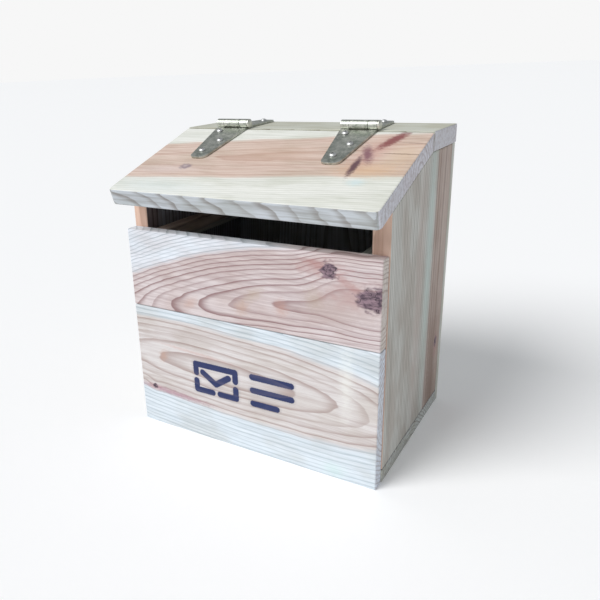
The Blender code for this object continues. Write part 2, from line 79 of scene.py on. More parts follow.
def add(tree, kind, inputs=(), output=0, **options):
    """Add a shader node. Inputs are values or sockets, by position or by name."""
    made = tree.nodes.new("ShaderNode" + kind)
    for name, value in options.items():
        setattr(made, name, value)
    pairs = inputs.items() if isinstance(inputs, dict) else enumerate(inputs)
    for key, value in pairs:
        if isinstance(value, bpy.types.NodeSocket):
            tree.links.new(value, made.inputs[key])
        elif value is not None:
            made.inputs[key].default_value = value
    return made.outputs[output]


SMOOTH = {"interpolation_type": "SMOOTHSTEP"}
LAYER = {"data_type": "RGBA", "output": 2}
print("options kept for reuse:", SMOOTH, LAYER)

# %% [markdown]
# Every finish starts the same way, with an empty material and its Principled shader. The
# boards keep their CAD shape, so their finish goes into the material slots they have.

# %% Start a material and dress a board


def start_material(name):
    """An empty material with a Principled shader, and its node tree."""
    material = bpy.data.materials.new(name)
    material.use_nodes = True
    tree = material.node_tree
    return material, tree, tree.nodes["Principled BSDF"]


def dress(node, material):
    """Give a CAD node its finish."""
    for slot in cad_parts[node].material_slots:
        slot.material = material


print("slots on the lid board:", len(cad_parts["lid_board"].material_slots))

# %% [markdown]
# ## Where the wood's pattern comes from
# A board is a slice of a trunk. The trunk has a pith, and every year adds a ring round
# it: pale soft early wood, then a thin dark line of late wood. The pattern on a face is
# only where the slice meets those rings, so the same rings seen on the end of the board
# join up with the lines on its face. The material works in the same way. Each board
# knows where its pith runs, and measures its distance from there in millimetres. A face
# almost parallel to the pith shows long arches and closed loops, and a face that cuts
# across the rings shows straight lines.

# %% Board directions
MM = 1000.0
X_AXIS = Vector((1, 0, 0))
Y_AXIS = Vector((0, 1, 0))
Z_AXIS = Vector((0, 0, 1))
LID_SLOPE = math.radians(18)
UP_SLOPE = Vector((0, math.cos(LID_SLOPE), math.sin(LID_SLOPE)))
print("up the lid's slope:", [round(part, 3) for part in UP_SLOPE])


def board_turn(grain, across):
    """The rotation that turns a board's grain to X and its width to Y."""
    return Matrix((grain, across, grain.cross(across))).to_euler()


def board_size(node):
    """A board's size in whole millimetres."""
    low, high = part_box(node)
    return [round(side * MM) for side in high - low]


print("back panel, mm:", board_size("back_panel"))

# %% [markdown]
# Coordinates come from the object's own space, so the pattern stays with a board when the
# lid opens. They are scaled to millimetres, turned so that X follows the grain, Y crosses
# the face and Z goes through the board, and moved so that zero is a corner we can measure
# from. Slow noise then bends the rings a little, because no tree is a perfect cone.
# Noise is stretched by its size in millimetres each way, and a seed moves it elsewhere.

# %% Board coordinates
SEED_SHIFT = (13.7, 7.3, 3.1)   # how far one seed moves the noise, in its own units
SLOW_BEND = (120, 45, 45)       # mm
QUICK_BEND = (24, 8, 8)         # mm
QUICK_REACH = 1.6               # mm


def board_space(tree, grain, across, corner):
    """Object coordinates in millimetres along, across and through a board."""
    turn = board_turn(grain, across)
    place = -(turn.to_matrix() @ (Vector(corner) * MM))
    local = add(tree, "TexCoord", output="Object")
    return add(tree, "Mapping", [local, place, turn, (MM, MM, MM)])


def grainy(tree, place, steps, detail=2.0, roughness=0.5, seed=0.0, output=0):
    """Noise with a grain size in millimetres along, across and through the board."""
    scale = tuple(1 / step for step in steps)
    shift = tuple(seed * step for step in SEED_SHIFT)
    spot = add(tree, "Mapping", [place, shift, None, scale])
    inputs = {"Vector": spot, "Scale": 1.0, "Detail": detail, "Roughness": roughness}
    return add(tree, "TexNoise", inputs, output=output)


def wander(tree, place, amount, seed):
    """Bend the rings' space: slowly by a millimetre or two, and quickly by a few tenths."""
    for steps, reach, extra in ((SLOW_BEND, amount, 0), (QUICK_BEND, QUICK_REACH, 3)):
        noise = grainy(tree, place, steps, 1.5, 0.5, seed + extra, "Color")
        shift = add(tree, "VectorMath", [noise, (0.5, 0.5, 0.5)], operation="SUBTRACT")
        shift = add(tree, "VectorMath", [shift, (0, reach, reach)], operation="MULTIPLY")
        place = add(tree, "VectorMath", [place, shift], operation="ADD")
    return place


print("slow and quick bends of the rings, mm:", SLOW_BEND, QUICK_BEND)

# %% [markdown]
# The pith is a curve beside the board: how far across it runs and how deep below the
# face, each given as a constant, a slope and a bow along the grain. The ring radius is
# the distance to it. Rings are wide near the pith and close up towards the bark, so the
# ring number grows a little faster than the radius does.

# %% Growth rings
RING_REFERENCE = 60.0       # mm from the pith, where a board's ring spacing is given
RING_GROWTH = 1.4           # 1 would keep all rings equally wide
LATE_START = 0.35           # share of a year's growth where the wood begins to darken
LATE_PEAK = 0.95            # and where it is darkest
LATE_CURVE = 2.2            # keeps most of the ring pale
FAINT_YEAR = 0.5            # the weakest line, as a share of the strongest


def curve_along(tree, along, numbers):
    """A constant, a slope and a bow, worked out along the grain."""
    flat, slope, bow = numbers
    value = add(tree, "Math", [along, bow, slope], operation="MULTIPLY_ADD")
    return add(tree, "Math", [value, along, flat], operation="MULTIPLY_ADD")


def ring_radius(tree, place, pith_across, pith_depth):
    """Distance to the pith, in millimetres."""
    along, across, through = add(tree, "SeparateXYZ", [place]).node.outputs
    side = curve_along(tree, along, pith_across)
    side = add(tree, "Math", [across, side], operation="SUBTRACT")
    deep = curve_along(tree, along, pith_depth)
    deep = add(tree, "Math", [through, deep], operation="ADD")
    flat = add(tree, "CombineXYZ", [side, deep])
    return add(tree, "VectorMath", [flat], output="Value", operation="LENGTH")


def ring_number(tree, radius, spacing, first):
    """Rings counted from the pith, with a part of a ring added at the start."""
    share = add(tree, "Math", [radius, RING_REFERENCE], operation="DIVIDE")
    grown = add(tree, "Math", [share, RING_GROWTH], operation="POWER")
    rings = RING_REFERENCE / (RING_GROWTH * spacing)
    return add(tree, "Math", [grown, rings, first], operation="MULTIPLY_ADD")


def late_wood(tree, number):
    """The dark line that ends each ring, strong in some years and faint in others."""
    share = add(tree, "Math", [number], operation="FRACT")
    rise = add(tree, "MapRange", [share, LATE_START, LATE_PEAK], **SMOOTH)
    rise = add(tree, "Math", [rise, LATE_CURVE], operation="POWER")
    fall = add(tree, "MapRange", [share, 1.0, LATE_PEAK], **SMOOTH)
    line = add(tree, "Math", [rise, fall], operation="MULTIPLY")
    year = add(tree, "Math", [number], operation="FLOOR")
    chance = add(tree, "TexWhiteNoise", {"W": year}, noise_dimensions="1D")
    strength = add(tree, "MapRange", [chance, 0.0, 1.0, FAINT_YEAR, 1.0])
    return add(tree, "Math", [line, strength], operation="MULTIPLY")


print("a ring darkens over this share of it:", round(LATE_PEAK - LATE_START, 2))

# %% [markdown]
# Stains and knots sit at known places on a board. Each is an ellipse in the board's
# millimetres with a ragged edge. A texture-type Mapping node does the work: it moves the
# ellipse to zero, turns it level and divides by its size, so that its edge is where the
# length is one. The size through the board is huge, so a mark goes right through, as a
# branch does. The ragged noise added to the length is about a half on average, so a
# stain's edge is looked for half a unit further out.

# %% Marks at known places
THROUGH = 1e6               # mm
STAIN_EDGE = 1.5            # the mark's own edge at 1, and the noise's half


def reach_from(tree, place, centre, size, tilt=0.0):
    """Distance from a mark's centre, as a share of its size."""
    inputs = [place, (*centre, 0), (0, 0, math.radians(tilt)), (*size, THROUGH)]
    local = add(tree, "Mapping", inputs, vector_type="TEXTURE")
    return add(tree, "VectorMath", [local], output="Value", operation="LENGTH")


def stain_wood(tree, place, ragged, wood, stain):
    """Lay one stain: centre, size, tilt, softness of its edge, strength and colour."""
    centre, size, tilt, soft, strength, tint = stain
    reach = reach_from(tree, place, centre, size, tilt)
    reach = add(tree, "Math", [ragged, reach], operation="ADD")
    edge = [reach, STAIN_EDGE, STAIN_EDGE - soft, 0.0, strength]
    mask = add(tree, "MapRange", edge, **SMOOTH)
    return add(tree, "Mix", {0: mask, 6: wood, 7: colour(tint)}, **LAYER)


print("a stain's edge is looked for at:", STAIN_EDGE)

# %% [markdown]
# A knot is a branch cut across. Its wood is dark and resinous, with its own tight rings
# and a few dry cracks, and the trunk's rings flow round it. Resin often stains the wood
# along the grain beside it, like a small flame.

# %% Knots
KNOT_DARK = "#4e3d4a"
KNOT_PALE = "#8f7781"
RESIN = "#b08380"
CRACK = "#2f242b"
KNOT_STRETCH = 0.86         # a knot's width as a share of its length
KNOT_EDGE = (2.25, 1.75)    # outside and inside of its edge, with the noise added
KNOT_RAGGED = 2.0           # how much noise goes into the edge
KNOT_RINGS = 15.0           # radians of ring for each knot size
RING_SHARE = 0.05           # how much the rings show in its colour
PATCH = (9.0, 4.0, 6.0)     # mm, light and dark patches in the knot
PATCH_RANGE = (0.36, 0.66)  # noise that gives the dark and the pale colour
FLAME_PLACE = (-0.7, 0.1)   # resin flame's middle, in knot sizes from the knot
FLAME_SIZE = (3.6, 1.3)     # in knot sizes
FLAME_EDGE = (1.95, 0.9)
FLAME_RAGGED = 1.6
CRACK_STEPS = (11.0, 6.0, 8.0)      # mm, the noise that the cracks follow
CRACK_EDGE = (0.022, 0.006)         # a crack is where its noise is this near a half
CRACK_SHARE = 0.85


def knot_wood(tree, place, wood, knot, seed):
    """Paint one knot, and return the wood, the mask of its core and its cracks."""
    centre, size, flame = knot
    ragged = grainy(tree, place, (size * 0.9, size * 0.5, size), 2.5, 0.5, seed)
    reach = reach_from(tree, place, centre, (size, size * KNOT_STRETCH))
    rough = add(tree, "Math", [ragged, KNOT_RAGGED, reach], operation="MULTIPLY_ADD")
    beside = (centre[0] + size * FLAME_PLACE[0], centre[1] + size * FLAME_PLACE[1])
    trail = reach_from(tree, place, beside, (size * FLAME_SIZE[0], size * FLAME_SIZE[1]))
    trail = add(tree, "Math", [ragged, FLAME_RAGGED, trail], operation="MULTIPLY_ADD")
    flamed = add(tree, "MapRange", [trail, *FLAME_EDGE, 0.0, flame], **SMOOTH)
    wood = add(tree, "Mix", {0: flamed, 6: wood, 7: colour(RESIN)}, **LAYER)

    core = add(tree, "MapRange", [rough, *KNOT_EDGE], **SMOOTH)
    year = add(tree, "Math", [rough, KNOT_RINGS], operation="MULTIPLY")
    year = add(tree, "Math", [year], operation="SINE")
    patch = grainy(tree, place, PATCH, 3.0, 0.55, seed + 1)
    tone = add(tree, "Math", [year, RING_SHARE, patch], operation="MULTIPLY_ADD")
    tone = add(tree, "MapRange", [tone, *PATCH_RANGE], **SMOOTH)
    grey = add(tree, "Mix", {0: tone, 6: colour(KNOT_DARK), 7: colour(KNOT_PALE)}, **LAYER)
    wood = add(tree, "Mix", {0: core, 6: wood, 7: grey}, **LAYER)

    dry = grainy(tree, place, CRACK_STEPS, 1.0, 0.4, seed + 2)
    dry = add(tree, "Math", [dry, 0.5], operation="SUBTRACT")
    dry = add(tree, "Math", [dry], operation="ABSOLUTE")
    dry = add(tree, "MapRange", [dry, *CRACK_EDGE, 0.0, CRACK_SHARE], **SMOOTH)
    dry = add(tree, "Math", [dry, core], operation="MULTIPLY")
    wood = add(tree, "Mix", {0: dry, 6: wood, 7: colour(CRACK)}, **LAYER)
    return wood, core, dry


print("a resin flame reaches, in knot sizes:", FLAME_SIZE)

# %% [markdown]
# ## Pressure-treated pine, planed
# Sapwood takes the copper treatment and turns a cold, faintly green white. Heartwood
# stays pink to tan. Both carry fine fibres, broader streaks and slow clouds. Real fibres
# are far finer than a tenth of a millimetre and wouldn't show, so they are drawn half a
# millimetre wide. Fibres and the hard late-wood lines stand proud and drive the bump, a
# little higher than on real planed wood, again so that they show. Planed softwood has a
# dull, slightly uneven sheen.
#
# First comes the figure, the rings as they show in one board: they bend round its knots,
# and long streaks follow them.

# %% Figure
KNOT_REACH = 4.5            # knot sizes over which the rings bend round it
KNOT_INNER = 0.3            # knot sizes within which they bend fully
KNOT_PULL = 0.9             # how far they bend, in knot sizes
STREAK = (140, 3.2, 3.2)    # mm


def figure(tree, still, seed, bend, pith_across, pith_depth, spacing, first, knots):
    """The rings as they show in the board: radius, dark lines and streaks."""
    place = wander(tree, still, bend, seed)
    radius = ring_radius(tree, place, pith_across, pith_depth)
    for centre, size, _ in knots:
        reach = reach_from(tree, still, centre, (size, size))
        pull = add(tree, "MapRange", [reach, KNOT_REACH, KNOT_INNER], **SMOOTH)
        radius = add(tree, "Math", [pull, -size * KNOT_PULL, radius],
                     operation="MULTIPLY_ADD")
    radius = add(tree, "Math", [radius, 0.0], operation="MAXIMUM")
    number = ring_number(tree, radius, spacing, first)
    streak = grainy(tree, place, STREAK, 3.0, 0.6, seed + 2)
    return radius, late_wood(tree, number), streak


print("streaks in the wood, mm:", STREAK)

# %% [markdown]
# Then the whole board. Sapwood and heartwood each have a colour for early and for late
# wood, and a wavering border between them at a radius from the pith. The late wood's
# colour is laid on along the ring lines, the streaks and the fibres, and stains and knots
# go on top. Faces turned to the ends, and others that a board names, take a tint of their
# own. A sawn end or edge isn't the same tone as the planed face, and faces inside the box
# are darkened with painted shade. A part of the ring lines is drawn over that tint, so
# that the end grain still shows.

# %% Pine
FIBRE = (14, 0.5, 0.5)      # mm
CLOUD = (55, 26, 26)        # mm
RAGGED = (4, 2, 2)          # mm, the noise in a stain's edge
BORDER_WAVER = (5.0, 9.0)   # mm that clouds and streaks move the heartwood's border
BORDER = (3.5, 10.0)        # mm past the heart radius, with the waver's mean of 7 added
STREAK_RANGE = (0.35, 0.75, 0.0, 0.42)  # noise from and to, and the least and most that
FIBRE_RANGE = (0.40, 0.80, 0.0, 0.34)   # it lays on: streaks and fibres in the late
CLOUD_RANGE = (0.38, 0.66, 0.0, 0.55)   # wood's colour, clouds in a tint of their own
LINE_HEIGHT = 0.8           # height of fibres and knots beside a late-wood line's 1
CRACK_HEIGHT = -2.5
PROUD = 0.00025             # m, the bump's height for a late-wood line
SHEEN = (0.3, 0.7, 0.58, 0.74)          # fibre noise, and the roughness it gives
FACING = (0.66, 0.80)       # cosine of a face's angle where a tint starts and is full
FACE_TINT_SHARE = 0.85           # the most of such a tint
EDGE_STREAK = 1.6           # how strongly streaks show on it
EDGE_LINE = "#d0c5c0"       # what the late wood takes away on ends and tinted faces


def pine(name, grain, across, corner, pith_across, pith_depth, spacing, heart, seed,
         sap, heartwood, knots=(), stains=(), faces=(), contrast=1.0, bend=5.0,
         first=0.0, cloud_tint="#dfdacb", end_tint="#e2e4e6", finish=None):
    """The finish of one board. Sizes are in mm, measured from the board's corner."""
    material, tree, shader = start_material(name)
    still = board_space(tree, grain, across, corner)
    radius, line, streak = figure(
        tree, still, seed, bend, pith_across, pith_depth, spacing, first, knots)
    fibre = grainy(tree, still, FIBRE, 4.0, 0.62, seed + 1)
    cloud = grainy(tree, still, CLOUD, 2.0, 0.5, seed + 4)
    ragged = grainy(tree, still, RAGGED, 3.0, 0.65, seed + 5)

    border = add(tree, "Math", [cloud, BORDER_WAVER[0], radius], operation="MULTIPLY_ADD")
    border = add(tree, "Math", [streak, BORDER_WAVER[1], border], operation="MULTIPLY_ADD")
    limits = [heart + BORDER[0], heart + BORDER[1]]
    sapwood = add(tree, "MapRange", [border, *limits], **SMOOTH)
    early = {0: sapwood, 6: colour(heartwood[0]), 7: colour(sap[0])}
    early = add(tree, "Mix", early, **LAYER)
    late = {0: sapwood, 6: colour(heartwood[1]), 7: colour(sap[1])}
    late = add(tree, "Mix", late, **LAYER)
    dark = add(tree, "Math", [line, contrast], operation="MULTIPLY", use_clamp=True)
    streak = add(tree, "MapRange", [streak, *STREAK_RANGE], **SMOOTH)
    hair = add(tree, "MapRange", [fibre, *FIBRE_RANGE], **SMOOTH)
    wood = early
    for share in (dark, streak, hair):
        wood = add(tree, "Mix", {0: share, 6: wood, 7: late}, **LAYER)
    dull = add(tree, "MapRange", [cloud, *CLOUD_RANGE], **SMOOTH)
    tinted = {0: dull, 6: wood, 7: colour(cloud_tint)}
    wood = add(tree, "Mix", tinted, blend_type="MULTIPLY", **LAYER)

    for stain in stains:
        wood = stain_wood(tree, still, ragged, wood, stain)
    height = add(tree, "Math", [fibre, LINE_HEIGHT, dark], operation="MULTIPLY_ADD")
    for number, knot in enumerate(knots, start=7):
        wood, core, dry = knot_wood(tree, still, wood, knot, seed + number)
        height = add(tree, "Math", [core, LINE_HEIGHT, height], operation="MULTIPLY_ADD")
        height = add(tree, "Math", [dry, CRACK_HEIGHT, height], operation="MULTIPLY_ADD")

    normal = add(tree, "TexCoord", output="Normal")
    ends = ((tuple(grain), end_tint, "MULTIPLY"), (tuple(-grain), end_tint, "MULTIPLY"))
    # ends and named faces take a tint: a sawn end's or edge's own tone, or painted shade on
    # faces inside the box
    for way, tint, blend in (*ends, *faces):
        facing = add(tree, "VectorMath", [normal, way], output="Value",
                     operation="DOT_PRODUCT")
        facing = add(tree, "MapRange", [facing, *FACING, 0.0, FACE_TINT_SHARE], **SMOOTH)
        edge = {0: facing, 6: wood, 7: colour(tint)}
        wood = add(tree, "Mix", edge, blend_type=blend, **LAYER)
        drawn = add(tree, "Math", [streak, EDGE_STREAK, line], operation="MULTIPLY_ADD")
        drawn = add(tree, "Math", [facing, drawn], operation="MULTIPLY", use_clamp=True)
        edge = {0: drawn, 6: wood, 7: colour(EDGE_LINE)}
        wood = add(tree, "Mix", edge, blend_type="MULTIPLY", **LAYER)
    if finish:
        wood = finish(tree, still, wood, dark)
    tree.links.new(wood, shader.inputs["Base Color"])
    rough = add(tree, "MapRange", [fibre, *SHEEN])
    tree.links.new(rough, shader.inputs["Roughness"])
    bump = {"Strength": 0.5, "Distance": PROUD, "Height": height}
    tree.links.new(add(tree, "Bump", bump), shader.inputs["Normal"])
    return material


print("fibres are drawn this wide, mm:", FIBRE[1])

# %% [markdown]
# ## The stencilled mark
# The mark is sprayed through a cut stencil: an envelope beside three address lines. A
# stencil's loose islands hang on small bridges, so every outline has gaps, and a router
# or knife leaves round stroke ends. The material builds it from capsules, which are line
# segments with a radius. First their centrelines are listed, in millimetres from the
# mark's centre.

# %% Stencil strokes
STROKE = 3.7                # mm, half a stroke's width
HALF_WIDE = 26.0            # envelope's centreline, mm
HALF_HIGH = 15.8
BRIDGE = 4.9                # half the distance between stroke ends at a bridge
FLAP_TOP = (17.0, 6.8)      # upper end of a flap stroke, from the envelope's middle
FLAP_POINT = -4.6           # how far down the two flap strokes meet
ENVELOPE_X = -34.3
LINES_X = (13.5, 60.0)
SHORT_LINE = 0.62           # the last address line, as a share of the others

strokes = []
for left in (-1, 1):
    side = ENVELOPE_X + left * HALF_WIDE
    strokes.append(((side, HALF_HIGH), (ENVELOPE_X, HALF_HIGH)))
    strokes.append(((side, HALF_HIGH), (side, BRIDGE)))
    strokes.append(((side, -HALF_HIGH), (side, -BRIDGE)))
    strokes.append(((side, -HALF_HIGH), (ENVELOPE_X + left * BRIDGE, -HALF_HIGH)))
    corner = (ENVELOPE_X + left * FLAP_TOP[0], FLAP_TOP[1])
    strokes.append((corner, (ENVELOPE_X, FLAP_POINT)))
for level, share in ((HALF_HIGH, 1.0), (0.0, 1.0), (-HALF_HIGH, SHORT_LINE)):
    start, stop = LINES_X
    strokes.append(((start, level), (start + (stop - start) * share, level)))
print("stencil strokes:", len(strokes))

# %% [markdown]
# The shortest distance to any stroke gives one clean outline. Fine noise makes the edge a
# little furry, as paint creeps along fibres, and a faint mist of overspray lies outside.
# The paint is slightly thinner over the hard ring lines and in patches.

# %% Paint on the wood
MARK_CENTRE = (142, 77)     # on the lower front board, mm from its lower left corner
MARK_TILT = math.radians(0.5)
PAINT = ("#1d2a5a", "#3a3f6c")      # thick and thin
FUZZ = 1.5                  # mm
PAINT_EDGE = (1.3, 0.3)     # mm outside the stroke, the fuzz's mean of 0.75 included
MIST_REACH = 5.0            # mm
MIST = 0.16
WORN = 0.90                 # cover left over the darkest ring lines
THIN_RANGE = (0.45, 0.75, 0.0, 0.35)    # noise from and to, and the thin colour's share


def stroke_distance(tree, place, start, stop):
    """Distance outside one stroke's centreline, in millimetres."""
    start = Vector(start)
    run = Vector(stop) - start
    middle = start + run / 2
    tilt = math.atan2(run.y, run.x)
    inputs = [place, (*middle, 0), (0, 0, tilt), (1, 1, THROUGH)]
    local = add(tree, "Mapping", inputs, vector_type="TEXTURE")
    local = add(tree, "VectorMath", [local], operation="ABSOLUTE")
    local = add(tree, "VectorMath", [local, (run.length / 2, 0, 0)], operation="SUBTRACT")
    local = add(tree, "VectorMath", [local, (0, 0, 0)], operation="MAXIMUM")
    return add(tree, "VectorMath", [local], output="Value", operation="LENGTH")


def stencil_mark(tree, still, wood, dark):
    """Spray the mark on the board."""
    inputs = [still, (*MARK_CENTRE, 0), (0, 0, MARK_TILT), (1, 1, 1)]
    place = add(tree, "Mapping", inputs, vector_type="TEXTURE")
    nearest = None
    for start, stop in strokes:
        reach = stroke_distance(tree, place, start, stop)
        if nearest is None:
            nearest = reach
        else:
            nearest = add(tree, "Math", [nearest, reach], operation="MINIMUM")
    fuzz = grainy(tree, still, (0.9, 0.9, 0.9), 2.0, 0.6, seed=41)
    edge = add(tree, "Math", [fuzz, FUZZ, nearest], operation="MULTIPLY_ADD")
    outer, inner = (STROKE + part for part in PAINT_EDGE)
    solid = add(tree, "MapRange", [edge, outer, inner], **SMOOTH)
    mist = add(tree, "MapRange", [edge, STROKE + MIST_REACH, STROKE, 0.0, MIST], **SMOOTH)
    cover = add(tree, "Math", [solid, mist], operation="MAXIMUM")
    worn = add(tree, "MapRange", [dark, 0.0, 1.0, 1.0, WORN])
    cover = add(tree, "Math", [cover, worn], operation="MULTIPLY")
    thin = grainy(tree, still, (9, 4, 4), 3.0, 0.6, seed=42)
    thin = add(tree, "MapRange", [thin, *THIN_RANGE], **SMOOTH)
    paint = add(tree, "Mix", {0: thin, 6: colour(PAINT[0]), 7: colour(PAINT[1])}, **LAYER)
    return add(tree, "Mix", {0: cover, 6: wood, 7: paint}, **LAYER)


print("a stroke's width, mm:", 2 * STROKE)

# %% [markdown]
# ## The boards
# Each board gets its own pith, its own ring spacing in millimetres and its own knots, as
# boards from different logs have. A knot is its centre, its size and the strength of its
# resin flame, and a stain is its centre, size, tilt, softness, strength and colour. The
# lower front board is placed so that its face dips into the rings and out again, which
# closes them into long loops.

# %% Lower front board
RIGHT_END = tuple(X_AXIS)
LEFT_END = tuple(-X_AXIS)
FRONT_EDGE = tuple(-Y_AXIS)
dress("lower_front_board", pine(
    "treated_pine_lower_front", X_AXIS, Z_AXIS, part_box("lower_front_board")[0],
    pith_across=(94.5, -0.05, 0), pith_depth=(28.07, -0.1392, 0.0006),
    spacing=5.0, heart=53, seed=1, first=0.52, bend=4.5, contrast=0.85,
    heartwood=("#dbd7d6", "#a38e89"), sap=("#dfe7ee", "#a7b4bc"),
    cloud_tint="#e9e4dd", faces=[(RIGHT_END, "#e6eefa", "MIX")],
    knots=[((19, 49), 3.6, 0.35)],
    stains=[
        ((45, 46), (80, 5.5), -3, 0.9, 0.75, "#a97f8d"),
        ((36, 92), (14, 9.0), 60, 1.0, 0.45, "#c39b86"),
        ((80, 105), (75, 3.0), -3, 0.9, 0.40, "#c49b92"),
        ((250, 10), (20, 14), 0, 1.0, 0.35, "#c4e2da"),
        ((262, 110), (12, 60), 0, 1.0, 0.40, "#eff1ea"),
        ((215, 80), (60, 16), -3, 1.0, 0.25, "#b9aea4"),
    ],
    finish=stencil_mark,
))
print("lower front board, mm:", board_size("lower_front_board"))

# %% [markdown]
# The upper front board has tighter rings and two large knots at its right, with brown
# stains round them. Its pith runs slantwise behind the face and comes nearer to it at the
# right, which bends the rings into long, lopsided arches.

# %% Upper front board
dress("upper_front_board", pine(
    "treated_pine_upper_front", X_AXIS, Z_AXIS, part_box("upper_front_board")[0],
    pith_across=(-5, 0.27, -0.00042), pith_depth=(40, -0.215, 0.00029),
    spacing=3.9, heart=58, seed=2, first=0.08, bend=7.0,
    heartwood=("#dad0d0", "#8f7172"), sap=("#e9eef6", "#aab4bc"),
    cloud_tint="#e8ddd8", faces=[(RIGHT_END, "#e2dad2", "MIX")],
    knots=[((243, 73), 9.0, 0.5), ((286, 51), 14.0, 0.4)],
    stains=[
        ((80, 14), (16, 9), 30, 1.0, 0.35, "#c39a88"),
        ((146, 20), (14, 12), 30, 1.0, 0.45, "#b9937a"),
        ((160, 36), (22, 9), 35, 1.0, 0.35, "#b5a184"),
        ((192, 27), (12, 15), 10, 1.0, 0.45, "#bd9080"),
        ((228, 42), (15, 17), 10, 1.0, 0.35, "#b3a183"),
        ((255, 40), (60, 34), 0, 1.0, 0.55, "#b39f9a"),
        ((232, 77), (26, 5), -12, 0.9, 0.45, "#a8746c"),
        ((262, 62), (24, 6), -30, 0.9, 0.40, "#a8746c"),
    ],
))
print("upper front board, mm:", board_size("upper_front_board"))

# %% [markdown]
# The lid is given a pith close below its face, so a band of pink heartwood runs down its
# middle with pale sapwood on both sides. A resin scar crosses the grain at the right, and
# two thin dark lines run in from that end. The lid slopes, so its zero corner is worked
# out from its top rear edge, down the slope.

# %% Lid
LID_TOP_WIDTH = 0.156       # m, up the slope
LID_REAR = -0.0855          # m, where its top face ends at the rail
lid_low, lid_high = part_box("lid_board")
lid_corner = Vector((lid_low.x, LID_REAR, lid_high.z)) - UP_SLOPE * LID_TOP_WIDTH
dress("lid_board", pine(
    "treated_pine_lid", X_AXIS, UP_SLOPE, lid_corner,
    pith_across=(70, 0.13, 0), pith_depth=(26, -0.02, 0),
    spacing=4.2, heart=50, seed=3, bend=6.0, contrast=0.5,
    sap=("#f4f4ee", "#c3c6b9"), heartwood=("#e3cfc2", "#b58d7c"),
    cloud_tint="#e5e6de",
    stains=[
        ((262, 72), (50, 24), 4, 1.0, 0.55, "#e3bb92"),
        ((285, 105), (30, 40), 0, 1.0, 0.45, "#e0c5a4"),
        ((150, 95), (80, 30), 5, 1.0, 0.30, "#cda48c"),
        ((40, 52), (65, 14), 5, 1.0, 0.50, "#e6d6d2"),
        ((254, 108), (22, 60), -16, 1.0, 0.55, "#cf9e92"),
        ((265, 137), (35, 9.0), 66, 0.7, 0.90, "#874648"),
        ((250, 104), (30, 8.0), 112, 0.9, 0.85, "#7a4d5d"),
        ((246.5, 78), (29, 5.5), 92, 0.7, 0.92, "#5a3a47"),
        ((282, 107), (30, 1.5), 1, 0.6, 0.75, "#8f7260"),
        ((288, 131), (24, 1.8), -3, 0.8, 0.55, "#8d6c5c"),
        ((62, 60), (9.5, 8.0), 0, 0.6, 0.80, "#8d7d87"),
        ((61, 61), (4.5, 3.5), 0, 0.8, 0.70, "#c9bab8"),
        ((260, 47), (14, 11), 0, 1.0, 0.60, "#cfe6ea"),
        ((55, 15), (90, 24), 0, 1.0, 0.45, "#dde8e8"),
    ],
    faces=[(tuple(-UP_SLOPE), "#c6cddc", "MULTIPLY"), (RIGHT_END, "#dcdee8", "MIX"),
           (LEFT_END, "#dcdee8", "MIX")],
))
print("lid's zero corner, mm:", [round(side * MM, 1) for side in lid_corner])

# %% [markdown]
# The rail is all sapwood: its pith lies far enough away that no heartwood is left in it,
# and its rings cross the face as nearly straight lines.

# %% Top rail
dress("top_rail", pine(
    "treated_pine_rail", X_AXIS, Y_AXIS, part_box("top_rail")[0],
    pith_across=(120, 0.1, 0), pith_depth=(50, 0, 0), spacing=4.0, heart=20, seed=4,
    sap=("#dadbcf", "#b4b5a6"), heartwood=("#d8cfcb", "#a5938a"), contrast=0.6,
    faces=[(FRONT_EDGE, "#d8dad6", "MULTIPLY"), (RIGHT_END, "#dcdde6", "MIX"),
           (LEFT_END, "#dcdde6", "MIX")],
))
print("top rail, mm:", board_size("top_rail"))

# %% [markdown]
# The two side panels stand with their grain upright. Their front edges take a bright
# orange pink, which shows at both ends of the slot. Faces inside the box are shaded with
# a cold grey, so that the slot looks as deep and dark as a narrow opening does.

# %% Side panels
EDGE_PINK = "#e6c2ae"
INSIDE_SHADE = "#8f94a8"
side_marks = {
    "left": [((150, 100), (200, 40), 0, 1.0, 0.35, "#c6b7af")],
    "right": [
        ((140, 90), (230, 20), 0, 1.0, 0.45, "#c3b3ac"),
        ((200, 121), (260, 19), 0, 0.9, 0.65, "#c3d3ce"),
        ((30, 156), (120, 28), 0, 0.9, 0.80, "#8a7266"),
    ],
}
side_knots = {"left": [((120, 150), 5.0, 0.4)], "right": [((73, 170), 6.0, 0.6)]}
side_pith = {"left": (-30, 0.03, 0), "right": (176, 0.01, 0)}
inward = {"left": tuple(X_AXIS), "right": tuple(-X_AXIS)}
for seed, side in enumerate(side_marks, start=5):
    node = side + "_side_panel"
    dress(node, pine(
        "treated_pine_" + node, Z_AXIS, Y_AXIS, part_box(node)[0],
        pith_across=side_pith[side], pith_depth=(20, 0, 0),
        spacing=6.6, heart=44, seed=seed, bend=4.0,
        sap=("#d6d6d1", "#8f8b80"), heartwood=("#c3b3a9", "#8c776f"),
        cloud_tint="#dccfc7", knots=side_knots[side], stains=side_marks[side],
        faces=[(FRONT_EDGE, EDGE_PINK, "MIX"), (inward[side], INSIDE_SHADE, "MULTIPLY")],
    ))
print("side panels dressed:", len(inward))

# %% [markdown]
# The remaining boards are seen through the slot, with the lid open, from behind or from
# below. They are the same timber, so a table is enough: node, grain, width, pith across,
# pith depth, ring spacing, sapwood colours and the face that is inside the box.

